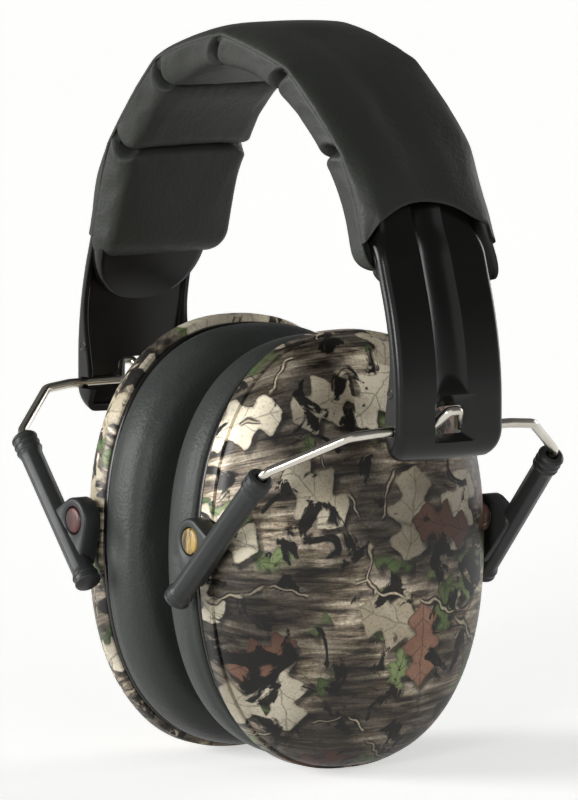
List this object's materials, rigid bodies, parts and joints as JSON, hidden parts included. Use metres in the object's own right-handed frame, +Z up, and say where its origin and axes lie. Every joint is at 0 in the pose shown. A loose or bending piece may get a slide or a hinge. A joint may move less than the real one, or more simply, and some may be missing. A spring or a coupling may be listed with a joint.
{
  "type": "earmuff_hearing_protector",
  "caption": "Passive earmuff hearing protector with a padded headband, sprung arms, wire yokes, height-adjusting sleeves and tilting camouflage ear cups",
  "frame": {"origin": "where the crown of the head meets the inside of the headband pad", "axes": "+Z up, +X to the wearer's left, -Y to the wearer's face"},
  "size_m": [0.1432, 0.0996, 0.1847],
  "materials": {
    "leatherette": "charcoal vinyl leatherette with a fine grain",
    "foam": "open-cell grey foam",
    "black_plastic": "black satin moulded plastic",
    "grey_plastic": "dark grey matte moulded plastic",
    "steel": "bright nickel-plated spring wire",
    "camouflage": null
  },
  "bodies": {
    "headband": {"headband_pad": "leatherette", "headband_foam": "foam", "headband_band": "black_plastic", "headband_cover": "leatherette", "left_hinge_pin": "steel", "right_hinge_pin": "steel"},
    "left_arm": {"left_arm": "black_plastic"},
    "left_yoke": {"left_yoke": "steel"},
    "left_slider": {"left_front_sleeve": "grey_plastic", "left_rear_sleeve": "grey_plastic"},
    "left_cup": {"left_cup_shell": "camouflage", "left_cushion_plate": "black_plastic", "left_ear_cushion": "leatherette", "left_cushion_foam": "foam", "left_acoustic_liner": "foam"},
    "right_arm": {"right_arm": "black_plastic"},
    "right_yoke": {"right_yoke": "steel"},
    "right_slider": {"right_front_sleeve": "grey_plastic", "right_rear_sleeve": "grey_plastic"},
    "right_cup": {"right_cup_shell": "camouflage", "right_cushion_plate": "black_plastic", "right_ear_cushion": "leatherette", "right_cushion_foam": "foam", "right_acoustic_liner": "foam"}
  },
  "joints": [
    {"name": "left_arm_spread", "type": "hinge", "parent": "headband", "child": "left_arm", "pos_m": [0.05798, 0, -0.02851], "axis": [0, 1, 0], "range_deg": [-13, 0], "stiffness_Nm_per_rad": 4, "springref_deg": 2.86},
    {"name": "left_yoke_swing", "type": "hinge", "parent": "left_arm", "child": "left_yoke", "pos_m": [0.06786, 0, -0.08354], "axis": [0, 1, 0], "range_deg": [-15, 2]},
    {"name": "left_height_slide", "type": "slide", "parent": "left_yoke", "child": "left_slider", "axis": [-0.7071, 0, -0.7071], "range_m": [0, 0.012]},
    {"name": "left_cup_tilt", "type": "hinge", "parent": "left_slider", "child": "left_cup", "pos_m": [0.02585, 0, -0.11339], "axis": [0, 1, 0], "range_deg": [-9, 9]},
    {"name": "right_arm_spread", "type": "hinge", "parent": "headband", "child": "right_arm", "pos_m": [-0.05798, 0, -0.02851], "axis": [0, 1, 0], "range_deg": [0, 13], "stiffness_Nm_per_rad": 4, "springref_deg": -2.86},
    {"name": "right_yoke_swing", "type": "hinge", "parent": "right_arm", "child": "right_yoke", "pos_m": [-0.06786, 0, -0.08354], "axis": [0, 1, 0], "range_deg": [-2, 15]},
    {"name": "right_height_slide", "type": "slide", "parent": "right_yoke", "child": "right_slider", "axis": [-0.7071, 0, 0.7071], "range_m": [-0.012, 0]},
    {"name": "right_cup_tilt", "type": "hinge", "parent": "right_slider", "child": "right_cup", "pos_m": [-0.02585, 0, -0.11339], "axis": [0, 1, 0], "range_deg": [-9, 9]}
  ]
}
